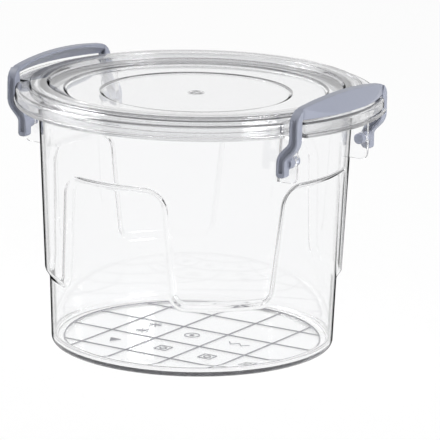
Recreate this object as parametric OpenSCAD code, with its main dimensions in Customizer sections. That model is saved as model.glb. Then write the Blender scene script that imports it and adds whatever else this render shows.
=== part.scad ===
// Round clear tub for rice and flour, with a lift-off lid that two swing clips hold down.
// Millimetres. Z is up, the table is at z = 0, and the clips swing on the +X and -X sides.

/* [Tub] */
// Radius of the raised band and corner pads where they would meet the table
band_r = 104.8; // [92:0.1:118]
// Depth of the sunk panels where they would meet the table
panel_depth = 2.8; // [1.5:0.1:5]
// Draft of the sunk panels, in degrees
panel_draft = 2.06; // [0.5:0.02:2.5]
// Draft of the raised band and pads, in degrees
band_draft = 2.6; // [1.8:0.05:2.8]
// Height of the flange's underside
flange_z = 175.4; // [150:0.2:220]
// Thickness of the wall
wall_t = 2.2; // [1.6:0.1:2.6]
// Thickness of the floor
floor_t = 2.2; // [1.6:0.1:4]
// Rounding of the outer bottom edge
bottom_round = 3; // [1:0.5:5]
// Rounding inside, between floor and wall
inner_round = 6; // [3:0.5:9]
// Distance from the panels in to the hollow under the floor
foot_in = 9.2; // [6:0.1:15]
// Height of the foot ring round that hollow
foot_h = 0.4; // [0.2:0.1:3]
// Height of the rim above the flange
rim_h = 9.4; // [8:0.1:12]

/* [Sunk panels] */
// Height of the shoulder where the panels end under the band
shoulder_z = 135.4; // [115:0.2:139]
// Height that the shoulder's slope takes up
shoulder_slope = 3.5; // [2:0.5:6]
// Half-width of a panel under its top corners
panel_half_w = 43.1; // [36:0.1:46]
// Lean of the panels' sides, in degrees
panel_lean = 4.3; // [0:0.1:6]
// Radius of the panels' top corners
panel_corner = 14; // [6:0.5:20]
// Height at which the corner pads start
pad_z = 49.1; // [30:0.1:60]
// Height that the pads' bottom slope takes up
pad_slope = 5.3; // [3:0.1:8]
// Radius of the pads' bottom corners
pad_corner = 6; // [3:0.5:9]

/* [Floor grid] */
// Spacing of the grid's ribs
grid_pitch = 38.1; // [25:0.1:45]
// Width of a rib
grid_w = 1; // [0.6:0.1:2]
// Height of a rib
grid_h = 0.5; // [0.3:0.1:1]
// Distance of one rib crossing from the centre, along X
grid_x = -16.9; // [-20:0.1:20]
// Distance of the same crossing from the centre, along Y
grid_y = -22.9; // [-24:0.1:20]
// Radius of the round gate mark in the centre
gate_r = 4; // [2:0.5:8]

/* [Flange] */
// How far the flange stands out past the band's lower radius
flange_out = 25.7; // [23:0.1:28]
// How far the flange's tongues between the clips' legs stand out past the flange
tongue_out = 6.5; // [5:0.1:9]
// Thickness of the flange
flange_t = 3; // [2:0.5:4]
// Rounding of the flange's edge
flange_round = 1; // [0.5:0.1:1.4]

/* [Notches for the legs] */
// Half-width of a tongue, where a notch starts
notch_y = 53.4; // [52.8:0.1:54]
// Width of a notch
notch_w = 8.8; // [8:0.1:11]
// Distance from the middle of a leg in to a notch's floor
notch_in = 7.3; // [6:0.1:9]
// Radius of a notch's corners
notch_corner = 1.5; // [0.5:0.1:2.5]

/* [Lid] */
// Thickness of the lid
lid_t = 2; // [1.4:0.1:2.2]
// Gap between the lid's skirt and the flange
seat_gap = 0.4; // [0.3:0.1:0.8]
// Height of the ledge's top above the flange
ledge_h = 7.7; // [6:0.1:9]
// How far the ledge's edge lies inside the flange's edge
ledge_in = 1; // [0.5:0.1:3]
// How far the ledge's tongues lie inside the flange's tongues
tongue_in = 1.5; // [0.5:0.1:3]
// Rounding of the ledge's edge
ledge_round = 2.5; // [2.2:0.1:4]
// Height of the ring above the ledge
ring_h = 4.1; // [3:0.1:5]
// Distance from the flange's edge in to the ring's outer wall
ring_inset = 11.4; // [10:0.1:13]
// Width of the ring's flat top
ring_w = 12.4; // [12:0.1:14]
// Rounding of the ring's outer top edge
ring_round = 1; // [0.5:0.1:1.8]
// Width of the flat pan round the disc
pan_w = 23.5; // [12:0.1:36]
// Width of the slope between the disc and the pan
disc_slope = 2.2; // [1:0.1:4]
// Depth of the disc below the ledge
disc_drop = 3.6; // [2:0.1:5]
// Distance from the ring's flat top in to the pan
pan_inset = 14.1; // [11:0.1:20]
// Depth of the pan below the ledge
pan_drop = 2.7; // [1:0.1:3.5]
// Gap between the plug ring and the tub's mouth
plug_gap = 0.4; // [0.2:0.1:0.8]
// Depth of the plug ring below the flange's top
plug_drop = 1; // [0:0.5:6]

/* [Clips] */
// Distance from the middle of the upright leg in to the pivot
pivot_in = 8.6; // [7:0.1:10]
// Depth of the pivot below the flange's underside
pivot_drop = 19.5; // [18:0.1:21]
// Distance from the flange's tongues in to the middle of the upright leg
leg_in = 17.9; // [15.5:0.1:18.5]
// Width of a leg, seen from the side
leg_w = 7; // [6:0.1:7.4]
// Thickness of a leg
leg_t = 6.6; // [5.5:0.1:6.8]
// Gap between a leg and a tongue
leg_gap = 1; // [0.8:0.1:1.4]
// Depth of the foot's end below the pivot
foot_drop = 9.6; // [6:0.1:10]
// Radius of the leg's two bends, along its middle line
bend_r = 9; // [6:0.5:10]
// Width of the groove along a leg
groove_w = 3.2; // [2:0.1:4]
// Depth of the groove along a leg
groove_d = 1.1; // [0.4:0.1:1.4]
// Height of the bar's top above the lid's ledge
bar_h = 13.3; // [12.5:0.1:16]
// Radius of the bar's crowned top edge
crown_r = 385; // [300:5:600]
// Radius of the clip's upper corners
arch_corner = 12; // [8:0.5:16]
// Distance from the flange's tongues in to the bar's lower lip
lip_in = 3.3; // [2:0.1:4.5]
// Height of the lip above the lid's ledge
lip_h = 1.5; // [1.3:0.1:2.5]
// How far the bar's face leans in on its way up
face_lean = 9.2; // [6:0.1:10]
// Radius of the bar's face at the lip
face_r = 283.7; // [240:0.1:400]
// Width of the bar's top at its middle
bar_top_w = 6.5; // [4:0.1:8]
// Radius of the bar's inner side
back_r = 1600; // [1300:50:3000]
// Gap kept between the lid and the swinging bar
swing_gap = 0.35; // [0.3:0.05:0.6]
// Rise of the lid for each degree that the clips turn
rise_per_degree = 0.2; // [0.15:0.01:0.3]

/* [Pins and ears] */
// Radius of a pin
pin_r = 3.9; // [2.5:0.1:4]
// Radial clearance of a pin in its ear
pin_gap = 0.08; // [0.04:0.01:0.1]
// How far a pin stands out behind its ear
pin_out = 4.2; // [1:0.1:5]
// Radius of the collar on a pin
collar_r = 4.4; // [4.2:0.1:6]
// Gap between the collar and the ear
collar_gap = 0.4; // [0.3:0.1:0.6]
// Length of the collar
collar_l = 4.9; // [3:0.1:6]
// Thickness of an ear
ear_t = 2.5; // [2:0.1:3.5]
// How far an ear reaches out past the pivot
ear_out = 4.8; // [4.7:0.1:8]
// Depth of an ear's bottom below the pivot
ear_drop = 15.5; // [12:0.1:18]
// Rounding of an ear's lower corner
ear_round = 5; // [1:0.1:6]

/* [Hidden] */
$fn = 128;
arc_steps = 6;
far = 200;

// Radii that follow from the band, out to the flange's tongues and in to the hollow and disc
panel_r = band_r - panel_depth;
foot_r = panel_r - foot_in;
flange_r = band_r + flange_out;
tongue_r = flange_r + tongue_out;
ledge_r = flange_r - ledge_in;
ledge_tongue_r = tongue_r - tongue_in;
ring_r = flange_r - ring_inset;
ring_in = ring_r - ring_w;
pan_r = ring_in - pan_inset;
disc_r = pan_r - pan_w - disc_slope;

// Heights that follow from the stack of tub, flange and lid
flange_top = flange_z + flange_t;
rim_z = flange_top + rim_h;
ledge_z = flange_top + ledge_h;
ring_z = ledge_z + ring_h;
pivot_z = flange_z - pivot_drop;
floor_z = foot_h + floor_t;

// The plug ring enters the tub's mouth
plug_z = flange_top - plug_drop;
plug_r = band_at(plug_z) - wall_t - plug_gap;

// Clips: the legs stand in the middle of their notches, the ears behind their collars
leg_x = tongue_r - leg_in;
lip_r = tongue_r - lip_in;
pivot_x = leg_x - pivot_in;
notch_x = leg_x - notch_in;
leg_y = notch_y + leg_gap;
arch_y = leg_y + leg_t;
ear_y = leg_y - collar_l - collar_gap;
bar_z = ledge_z + bar_h;
lip_z = ledge_z + lip_h;
foot_z = pivot_z - foot_drop;

// Middle line of a leg, from the foot up to the bar
foot_shift = -1.2;
knee_rise = 4.2;
hip_rise = 14;
leg_top_lean = 1.6;
leg_line = [
    [pivot_x + foot_shift, foot_z],
    [pivot_x + foot_shift, pivot_z + knee_rise],
    [leg_x, pivot_z + hip_rise],
    [leg_x, ledge_z],
    [leg_x + leg_top_lean, bar_z + 1]
];

// The bar's underside is the path of the ledge's rounded edge, seen from the turning clip:
// the lid rises while the clip turns, which moves the arc's centre away from the pivot.
rise = rise_per_degree * 180 / PI;
sweep_x = pivot_x - rise / 2;
sweep_z = pivot_z + rise / 2;
edge_reach = [ledge_tongue_r - ledge_round - pivot_x, ledge_z - ledge_round - pivot_z];
sweep_r = norm(edge_reach) + ledge_round + swing_gap;

function panel_at(z) = panel_r + z * tan(panel_draft);
function band_at(z) = band_r + z * tan(band_draft);

// Depth of the panels at the two slopes, and how far each slope rises where the wall's inner
// face lies inset from its outer one
shoulder_run = band_at(shoulder_z) - panel_at(shoulder_z - shoulder_slope);
pad_run = band_at(pad_z + pad_slope) - panel_at(pad_z);
overrun = 0.2;
function shoulder_rise(inset) = inset * tan((90 - atan2(shoulder_slope, shoulder_run)) / 2);
function pad_rise(inset) = inset * tan((90 - atan2(pad_slope, pad_run)) / 2);

// Unit vector from a to b, and the same turned a quarter left
function heading(a, b) = (b - a) / norm(b - a);
function left(v) = [-v[1], v[0]];

// Arc that rounds the corner at b, between a and c, with radius r
function corner_arc(a, b, c, r) =
    let (
        u = heading(b, a),
        v = heading(b, c),
        half = acos(min(1, max(-1, u * v))) / 2,
        middle = b + heading([0, 0], u + v) * r / sin(half),
        turn = sign(cross(-u, v)),
        start = atan2(turn * u[0], -turn * u[1]),
        sweep = 180 - 2 * half
    )
    [for (i = [0:arc_steps]) middle + r * unit(start + turn * sweep * i / arc_steps)];
function unit(angle) = [cos(angle), sin(angle)];

// Outline through points [x, y, r], each corner rounded with its own r
function rounded(points) = [
    for (i = [0:len(points) - 1])
        let (
            n = len(points),
            a = points[(i + n - 1) % n],
            b = points[i],
            c = points[(i + 1) % n]
        )
        for (p = b[2] == 0 ? [[b[0], b[1]]] : corner_arc([a[0], a[1]], [b[0], b[1]], [c[0], c[1]], b[2])) p
];

// One side of a strap along a line, s to the left of it, bent with radius r on the line
function strap_side(line, s, r, end_r) = [
    for (i = [0:len(line) - 1])
        let (
            last = len(line) - 1,
            d0 = heading(line[max(i, 1) - 1], line[max(i, 1)]),
            d1 = heading(line[min(i, last - 1)], line[min(i, last - 1) + 1]),
            shift = s * (left(d0) + left(d1)) / (1 + d0 * d1),
            bend = r - sign(cross(d0, d1)) * s
        )
        [line[i][0] + shift[0], line[i][1] + shift[1], i == 0 ? end_r : i == last ? 0 : bend]
];
function reversed(list) = [for (i = [len(list) - 1:-1:0]) list[i]];

module strap(line, w, r, end_r) {
    polygon(rounded(concat(
        strap_side(line, w / 2, r, end_r),
        reversed(strap_side(line, -w / 2, r, end_r))
    )));
}

// Solid with an X-Z outline between y0 and y1, and one with a Y-Z outline between x0 and x1
module along_y(y0, y1) {
    translate([0, y1, 0])
        rotate([90, 0, 0])
            linear_extrude(y1 - y0) children();
}
module along_x(x0, x1) {
    translate([x0, 0, 0])
        rotate([90, 0, 90])
            linear_extrude(x1 - x0) children();
}
module both_y() {
    children();
    mirror([0, 1, 0]) children();
}
module both_x() {
    children();
    mirror([1, 0, 0]) children();
}

// Outline of a sunk panel, seen along its radius; the sides lean in towards the top.
// It runs a little past the shoulder above and the pads' foot below, which end it there.
module panel_outline(inset) {
    up = shoulder_rise(inset);
    down = pad_rise(inset);
    top = shoulder_z + up + overrun;
    low = pad_z + down - overrun;
    side_top = panel_half_w + inset - (top - shoulder_z + panel_corner) * tan(panel_lean);
    side_low = side_top + (top - low) * tan(panel_lean);
    flare = side_low + pad_corner + 1;
    polygon(rounded([
        [side_top, top, panel_corner + up],
        [-side_top, top, panel_corner + up],
        [-side_low, low, pad_corner - down],
        [-flare, low, 0],
        [-flare, low - pad_z / 2, 0],
        [flare, low - pad_z / 2, 0],
        [flare, low, 0],
        [side_low, low, pad_corner - down]
    ]));
}

// Everything above the shoulder's slope, wide enough to reach through the wall
module above_shoulder(inset) {
    steep = shoulder_slope / shoulder_run;
    r_in = panel_r / 2;
    r_out = band_at(shoulder_z) - inset;
    rotate_extrude()
        polygon([
            [r_in, shoulder_z + shoulder_rise(inset) + (r_in - r_out) * steep],
            [far, shoulder_z + shoulder_rise(inset) + (far - r_out) * steep],
            [far, far * 2],
            [r_in, far * 2]
        ]);
}

// The tub's outer form, or with an inset its inner form: sunk panels between raised pads
module tub_form(inset, z0, z1, low_round, top_round) {
    foot = pad_z + pad_rise(inset);
    rotate_extrude()
        polygon(rounded([
            [0, z0, 0],
            [panel_at(z0) - inset, z0, low_round],
            [panel_at(flange_z - 1) - inset, flange_z - 1, 0],
            [0, flange_z - 1, 0]
        ]));
    difference() {
        rotate_extrude()
            polygon(rounded([
                [0, foot, 0],
                [panel_at(foot) - inset - pad_run, foot - pad_slope, 0],
                [panel_at(foot) - inset + pad_run, foot + pad_slope, 0],
                [band_at(z1) - inset, z1, top_round],
                [0, z1, 0]
            ]));
        for (turn = [0:90:270])
            rotate(turn)
                difference() {
                    along_x(panel_r / 2, far) panel_outline(inset);
                    above_shoulder(inset);
                }
    }
}

// Round plate with a rounded edge
module plate(r, z0, z1, low_round, top_round) {
    rotate_extrude()
        polygon(rounded([[0, z0, 0], [r, z0, low_round], [r, z1, top_round], [0, z1, 0]]));
}

module notch_outline(inset) {
    x = notch_x - inset;
    y0 = notch_y - inset;
    y1 = notch_y + notch_w + inset;
    polygon(rounded([
        [x, y0, notch_corner + inset],
        [far, y0, 0],
        [far, y1, 0],
        [x, y1, notch_corner + inset]
    ]));
}

// Plate with a tongue on each side and a notch on both sides of each tongue
module notched_plate(r, r_tongue, z0, z1, low_round, top_round, inset) {
    difference() {
        union() {
            plate(r - inset, z0, z1, low_round, top_round);
            intersection() {
                plate(r_tongue - inset, z0, z1, low_round, top_round);
                translate([-far, -notch_y - notch_w / 2, z0 - 1])
                    cube([2 * far, 2 * notch_y + notch_w, z1 - z0 + 2]);
            }
        }
        both_x()
            both_y()
                translate([0, 0, z0 - 1])
                    linear_extrude(z1 - z0 + 2) notch_outline(inset);
    }
}

module ear() {
    x = pivot_x + ear_out;
    z = pivot_z - ear_drop;
    along_y(ear_y - ear_t, ear_y)
        polygon(rounded([
            [panel_r * 0.8, z, 0],
            [x, z, ear_round],
            [x, flange_z + flange_t / 2, 0],
            [panel_r * 0.8, flange_z + flange_t / 2, 0]
        ]));
}

module floor_grid() {
    first_x = grid_x - grid_pitch * floor((foot_r + grid_x) / grid_pitch);
    first_y = grid_y - grid_pitch * floor((foot_r + grid_y) / grid_pitch);
    intersection() {
        union() {
            for (x = [first_x:grid_pitch:foot_r])
                translate([x - grid_w / 2, -foot_r, floor_z - grid_h])
                    cube([grid_w, 2 * foot_r, 2 * grid_h]);
            for (y = [first_y:grid_pitch:foot_r])
                translate([-foot_r, y - grid_w / 2, floor_z - grid_h])
                    cube([2 * foot_r, grid_w, 2 * grid_h]);
        }
        cylinder(r = foot_r, h = 2 * floor_z);
    }
    translate([0, 0, floor_z - grid_h])
        cylinder(r = gate_r, h = 2 * grid_h);
}

module tub() {
    color([0.93, 0.94, 0.95, 0.35]) {
        difference() {
            union() {
                tub_form(0, 0, rim_z, bottom_round, wall_t / 3);
                notched_plate(flange_r, tongue_r, flange_z, flange_top, flange_round, flange_round, 0);
                both_x() both_y() ear();
            }
            tub_form(wall_t, floor_z, rim_z + 5, inner_round, 0);
            translate([0, 0, -1])
                cylinder(r1 = foot_r + 1, r2 = foot_r, h = foot_h + 1);
            both_x()
                both_y()
                    translate([pivot_x, ear_y + 1, pivot_z])
                        rotate([90, 0, 0])
                            cylinder(r = pin_r + pin_gap, h = ear_t + 2);
        }
        floor_grid();
    }
}

// Section of the lid from its centre out to the ring's outer wall, with the plug ring below
module crown_section() {
    disc_z = ledge_z - disc_drop;
    pan_z = ledge_z - pan_drop;
    shelf_r = pan_r + 2.4;
    shelf_z = ledge_z - 0.7;
    wall_r = ring_in - 1.7;
    wall_z = ledge_z + 0.8;
    polygon(rounded([
        [0, disc_z, 0],
        [disc_r, disc_z, 0],
        [disc_r + disc_slope, pan_z, 0],
        [pan_r, pan_z, 0],
        [shelf_r, shelf_z, 0],
        [wall_r, wall_z, 0],
        [ring_in, ring_z, ring_round / 2],
        [ring_r, ring_z, ring_round],
        [ring_r, ledge_z - lid_t, 0],
        [ring_r - lid_t, ledge_z - lid_t, 0],
        [ring_r - lid_t, ring_z - lid_t, 0],
        [plug_r, ring_z - lid_t, 0],
        [plug_r, plug_z + lid_t, 0],
        [plug_r - lid_t / 4, plug_z, 0],
        [plug_r - lid_t, plug_z, 0],
        [plug_r - lid_t, wall_z - lid_t, 0],
        [shelf_r, shelf_z - lid_t, 0],
        [pan_r, pan_z - lid_t, 0],
        [disc_r + disc_slope, pan_z - lid_t, 0],
        [disc_r, disc_z - lid_t, 0],
        [0, disc_z - lid_t, 0]
    ]));
}

module lid() {
    skirt_z = flange_top + seat_gap;
    color([0.93, 0.94, 0.95, 0.35]) {
        rotate_extrude() crown_section();
        difference() {
            notched_plate(ledge_r, ledge_tongue_r, skirt_z, ledge_z, 0, ledge_round, 0);
            notched_plate(
                ledge_r, ledge_tongue_r, skirt_z - 5, ledge_z - lid_t, 0, ledge_round - lid_t, lid_t
            );
            translate([0, 0, skirt_z - 10])
                cylinder(r = ring_r - lid_t / 2, h = ledge_h + 20);
        }
    }
}

// Front outline of a clip: crowned top, round upper corners
module arch_outline() {
    crown_z = bar_z - crown_r;
    corner_y = arch_y - arch_corner;
    corner_z = crown_z + sqrt(pow(crown_r - arch_corner, 2) - pow(corner_y, 2));
    tangent_y = corner_y * crown_r / (crown_r - arch_corner);
    translate([-arch_y, foot_z - 1])
        square([2 * arch_y, corner_z - foot_z + 1]);
    for (y = [-corner_y, corner_y])
        translate([y, corner_z]) circle(arch_corner);
    intersection() {
        translate([0, crown_z]) circle(crown_r, $fn = 1024);
        translate([-tangent_y, foot_z])
            square([2 * tangent_y, far]);
    }
}

// The bar: leaning curved face, flat lip, and an underside that the lid's edge swings past
module clip_bar() {
    face_x = lip_r - face_r;
    bar_rise = bar_z - lip_z;
    difference() {
        intersection() {
            along_x(pivot_x - collar_r, lip_r + 5) arch_outline();
            translate([0, 0, lip_z])
                cylinder(r = lip_r, h = far);
            translate([face_x, 0, lip_z])
                cylinder(r1 = face_r, r2 = face_r - 2 * face_lean, h = 2 * bar_rise);
        }
        translate([lip_r - face_lean - bar_top_w - back_r, 0, 0])
            cylinder(r = back_r, h = far * 2, $fn = 1024);
        rotate_extrude()
            translate([sweep_x, sweep_z])
                circle(sweep_r);
    }
}

module clip_leg() {
    difference() {
        along_y(leg_y, arch_y) strap(leg_line, leg_w, bend_r, leg_w / 3);
        for (y = [leg_y - 1, arch_y - groove_d])
            along_y(y, y + groove_d + 1)
                intersection() {
                    strap(leg_line, groove_w, bend_r, groove_w / 2.1);
                    translate([0, pivot_z + (y < leg_y ? collar_r : groove_w - foot_drop)])
                        square([far, far]);
                }
    }
    translate([pivot_x, leg_y + 1, pivot_z])
        rotate([90, 0, 0]) {
            cylinder(r = collar_r, h = collar_l + 1);
            cylinder(r = pin_r, h = leg_y + 1 - ear_y + ear_t + pin_out);
        }
}

module clip() {
    color([0.64, 0.66, 0.71]) {
        clip_bar();
        both_y()
            intersection() {
                clip_leg();
                along_x(0, far) arch_outline();
            }
    }
}

module clip_right() {
    clip();
}

module clip_left() {
    mirror([1, 0, 0]) clip();
}

tub();
lid();
clip_left();
clip_right();
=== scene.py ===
import math

import bmesh
import bpy
import numpy as np
from mathutils import Matrix, Vector


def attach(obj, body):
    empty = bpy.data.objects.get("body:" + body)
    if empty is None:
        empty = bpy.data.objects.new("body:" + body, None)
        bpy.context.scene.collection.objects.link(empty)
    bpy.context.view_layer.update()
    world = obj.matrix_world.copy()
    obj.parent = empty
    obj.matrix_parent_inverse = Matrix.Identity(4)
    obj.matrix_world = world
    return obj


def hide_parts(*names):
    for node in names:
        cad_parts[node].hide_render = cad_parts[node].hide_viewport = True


bl_info = {
    "name": "Clear Clip-Lid Tub",
    "version": (1, 0, 0),
    "blender": (4, 5, 0),
    "location": "3D View > Sidebar > Tub",
    "description": "Moulds a round clear tub, its lid and two grey swing clips round the packed frame",
    "category": "Add Mesh",
}

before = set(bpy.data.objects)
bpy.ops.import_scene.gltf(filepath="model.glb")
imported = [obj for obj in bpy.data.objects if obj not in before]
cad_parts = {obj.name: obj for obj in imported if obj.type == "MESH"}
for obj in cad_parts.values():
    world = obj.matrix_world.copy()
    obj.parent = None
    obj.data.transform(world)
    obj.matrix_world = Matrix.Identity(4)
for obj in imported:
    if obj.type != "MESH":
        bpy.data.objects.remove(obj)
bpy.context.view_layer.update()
MM = 0.001
NEAR_ZERO = 1e-12
LEAST_RADIUS = 0.01 * MM


# ---------------------------------------------------------------------------
# Sizes and finishes
# ---------------------------------------------------------------------------

def length(name, description, millimetres):
    """A length property that is written in millimetres and kept in metres."""
    return bpy.props.FloatProperty(
        name=name,
        description=description,
        default=millimetres * MM,
        min=0.0,
        precision=5,
        subtype="DISTANCE",
        unit="LENGTH",
    )


def colour(name, description, rgb):
    """A colour property."""
    return bpy.props.FloatVectorProperty(
        name=name, description=description, default=rgb, size=3, min=0.0, max=1.0, subtype="COLOR"
    )


def factor(name, description, value, top=1.0):
    """A plain number from 0 to top."""
    return bpy.props.FloatProperty(name=name, description=description, default=value, min=0.0, max=top)


class TubSizes(bpy.types.PropertyGroup):
    """Sizes of the clear tub."""

    panel_r: length("Panel radius", "Radius of the sunk panels where they would meet the table", 102.0)
    band_r: length("Band radius", "Radius of the raised band where it would meet the table", 104.8)
    panel_draft: bpy.props.FloatProperty(
        name="Panel draft", description="Draft of the sunk panels",
        default=math.radians(2.06), subtype="ANGLE", unit="ROTATION",
    )
    band_draft: bpy.props.FloatProperty(
        name="Band draft", description="Draft of the raised band",
        default=math.radians(2.6), subtype="ANGLE", unit="ROTATION",
    )
    wall: length("Wall", "Thickness of the wall", 2.2)
    foot_r: length("Foot radius", "Radius of the hollow under the floor", 92.8)
    foot_h: length("Foot height", "Height of the foot ring", 0.4)
    floor_z: length("Floor height", "Height of the floor's upper face", 2.6)
    low_round: length("Bottom rounding", "Rounding of the outer bottom edge", 3.0)
    inner_round: length("Inner rounding", "Rounding between floor and wall", 6.0)
    shoulder_z: length("Shoulder height", "Height of the shoulder over the panels", 135.4)
    shoulder_slope: length("Shoulder slope", "Height that the shoulder's slope takes up", 3.5)
    side_slope: length("Side slope", "Width that the slope at a panel's sides takes up", 4.4)
    panel_half: length("Panel half-width", "Half-width of a panel under its top corners", 43.1)
    panel_lean: bpy.props.FloatProperty(
        name="Panel lean", description="Lean of the panels' sides",
        default=math.radians(4.3), subtype="ANGLE", unit="ROTATION",
    )
    panel_corner: length("Panel corner", "Radius of the panels' top corners", 14.0)
    pad_z: length("Pad height", "Height at which the corner pads start", 49.1)
    pad_slope: length("Pad slope", "Height that the pads' bottom slope takes up", 5.3)
    pad_corner: length("Pad corner", "Radius of the pads' bottom corners", 6.0)
    flange_z: length("Flange height", "Height of the flange's underside", 175.4)
    flange_t: length("Flange", "Thickness of the flange", 3.0)
    flange_r: length("Flange radius", "Radius of the flange", 130.5)
    tongue_r: length("Tongue radius", "Radius of the flange's tongues", 137.0)
    flange_round: length("Flange rounding", "Rounding of the flange's edge", 1.0)
    rim_z: length("Rim height", "Height of the rim's top", 187.8)
    notch_y: length("Notch start", "Half-width of a tongue", 53.4)
    notch_w: length("Notch width", "Width of a notch for a leg", 8.8)
    notch_x: length("Notch floor", "Distance of a notch's floor from the centre", 111.8)
    ear_y: length("Ear place", "Distance of an ear's outer face from the centre", 49.1)
    ear_t: length("Ear", "Thickness of an ear", 2.5)
    ear_x: length("Ear reach", "Distance of an ear's edge from the centre", 115.3)
    ear_z: length("Ear bottom", "Height of an ear's bottom", 140.4)
    ear_round: length("Ear corner", "Rounding of an ear's lower corner", 5.0)
    pivot_x: length("Pivot place", "Distance of a pivot from the centre", 110.5)
    pivot_z: length("Pivot height", "Height of a pivot", 155.9)
    bore_r: length("Bore", "Radius of the bore in an ear", 3.98)


class LidSizes(bpy.types.PropertyGroup):
    """Sizes of the clear lid."""

    wall: length("Wall", "Thickness of the lid", 2.0)
    skirt_z: length("Skirt", "Height of the skirt's lower edge", 178.8)
    ledge_z: length("Ledge height", "Height of the ledge's top", 186.1)
    ledge_r: length("Ledge radius", "Radius of the ledge", 129.5)
    tongue_r: length("Tongue radius", "Radius of the ledge's tongues", 135.5)
    ledge_round: length("Ledge rounding", "Rounding of the ledge's edge", 2.5)
    ring_z: length("Ring height", "Height of the ring's top", 190.2)
    ring_r: length("Ring radius", "Outer radius of the ring", 119.1)
    ring_in: length("Ring inner radius", "Inner radius of the ring's top", 106.7)
    ring_round: length("Ring rounding", "Rounding of the ring's top edges", 1.0)
    disc_r: length("Disc radius", "Radius of the flat centre disc", 66.9)
    disc_slope: length("Disc slope", "Width of the slope between the disc and the pan", 2.2)
    disc_z: length("Disc height", "Height of the disc's top", 182.5)
    pan_r: length("Pan radius", "Outer radius of the pan round the disc", 92.6)
    pan_z: length("Pan height", "Height of the pan's top", 183.4)
    plug_r: length("Plug radius", "Outer radius of the plug ring", 110.25)
    plug_z: length("Plug height", "Height of the plug ring's lower edge", 177.4)
    gate_r: length("Gate mark", "Radius of the gate mark in the centre", 6.0)


class FloorGrid(bpy.types.PropertyGroup):
    """The grid and marks that are moulded into the floor."""

    pitch: length("Pitch", "Spacing of the ribs", 38.1)
    rib_w: length("Rib width", "Width of a rib", 1.2)
    rib_h: length("Rib height", "Height of a rib", 0.5)
    mark_r: length("Mark size", "Radius of the small marks", 5.4)
    mark_w: length("Mark line", "Width of the marks' lines", 0.9)
    mark_h: length("Mark height", "Height of the small marks", 0.3)
    cross_x: bpy.props.FloatProperty(
        name="Crossing X", description="Place of one rib crossing along X",
        default=-16.9 * MM, subtype="DISTANCE", unit="LENGTH",
    )
    cross_y: bpy.props.FloatProperty(
        name="Crossing Y", description="Place of one rib crossing along Y",
        default=-22.9 * MM, subtype="DISTANCE", unit="LENGTH",
    )


class Finishes(bpy.types.PropertyGroup):
    """Colours and finishes of the three plastics."""

    clear_tint: colour("Clear tint", "Tint of the clear plastic's surface", (0.995, 0.997, 1.0))
    clear_depth: colour(
        "Clear depth", "Colour that long ways through the plastic take on", (0.81, 0.81, 0.815)
    )
    tub_density: bpy.props.FloatProperty(
        name="Tub density", description="How fast the tub's plastic darkens with depth, per metre",
        default=52.0, min=0.0,
    )
    lid_density: bpy.props.FloatProperty(
        name="Lid density", description="How fast the lid's plastic darkens with depth, per metre",
        default=195.0, min=0.0,
    )
    clear_ior: factor("Refraction", "Refractive index of the clear plastic", 1.57, 3.0)
    # Painted shade: a dark see-through colour put on the clear plastic where it is seen edge-on.
    edge_shade: colour(
        "Edge shade", "Shade of the clear plastic where it is seen edge-on", (0.08, 0.085, 0.095)
    )
    edge_start: factor("Edge start", "How edge-on the plastic is where the shade starts", 0.80)
    edge_full: factor("Edge full", "How edge-on the plastic is where the shade is full", 0.88)
    way_out: bpy.props.FloatProperty(
        name="Way out", description="Turns inside the plastic after which light is let out straight",
        default=12.0, min=0.0,
    )
    rib_grey: colour("Rib grey", "Colour of the frosted ribs on the floor", (0.115, 0.115, 0.128))
    clip_grey: colour("Clip grey", "Main colour of the clips", (0.265, 0.28, 0.34))
    clip_dark: colour("Clip shade", "Darker flow colour of the clips", (0.22, 0.235, 0.29))
    # Painted shade: a darker colour that ambient occlusion lays into the clips' grooves and corners.
    clip_painted_shade: colour(
        "Clip crease", "Darker tone in the clips' grooves and corners", (0.055, 0.06, 0.085)
    )
    # How far from a corner the painted shade reaches.
    painted_shade_reach: length("Crease reach", "How far from a corner the darker tone reaches", 3.0)
    clip_rough: factor("Clip roughness", "Roughness of the clips", 0.38)


class StageLook(bpy.types.PropertyGroup):
    """Floor, light and camera."""

    floor_white: colour("Floor", "Colour of the floor", (0.93, 0.93, 0.93))
    floor_glow: factor("Floor glow", "Share of plain white in what the eye sees of the floor", 0.92)
    fill: factor("Fill", "Strength of the even light from all round", 0.28, 5.0)
    lamp: bpy.props.FloatProperty(
        name="Lamp", description="Power of the main lamp", default=62.0, min=0.0
    )
    azimuth: bpy.props.FloatProperty(
        name="Azimuth", description="Bearing of the camera from the front",
        default=math.radians(32.92), subtype="ANGLE", unit="ROTATION",
    )
    elevation: bpy.props.FloatProperty(
        name="Elevation", description="Height of the camera as an angle",
        default=math.radians(13.74), subtype="ANGLE", unit="ROTATION",
    )
    roll: bpy.props.FloatProperty(
        name="Roll", description="Roll of the camera",
        default=math.radians(0.96), subtype="ANGLE", unit="ROTATION",
    )
    distance: length("Distance", "Distance from the camera to the tub's middle", 2607.3)
    target_z: length("Target height", "Height that the camera looks at", 96.4)


GROUPS = {
    "tub_sizes": TubSizes,
    "lid_sizes": LidSizes,
    "floor_grid": FloorGrid,
    "tub_finishes": Finishes,
    "tub_stage": StageLook,
}


# ---------------------------------------------------------------------------
# Turned grids: a round piece is a stack of rows, each a radius and a height round the axis
# ---------------------------------------------------------------------------

def round_columns():
    """Angles round the axis, closest where the panels' sides and the notches are."""
    spans = [(0, 12, 1.0), (12, 20, 0.5), (20, 30, 0.2), (30, 45, 1.0)]  # from, to, step
    eighth = np.concatenate([np.arange(a, b, step) for a, b, step in spans])
    quarter = np.concatenate([eighth, [45.0], 90.0 - eighth[:0:-1]])
    return np.radians(np.concatenate([quarter + turn for turn in (0, 90, 180, 270)]))


def quarter_turn(theta, step):
    """Angle from the nearest multiple of step, without its sign."""
    return np.abs((theta + step / 2) % step - step / 2)


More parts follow.
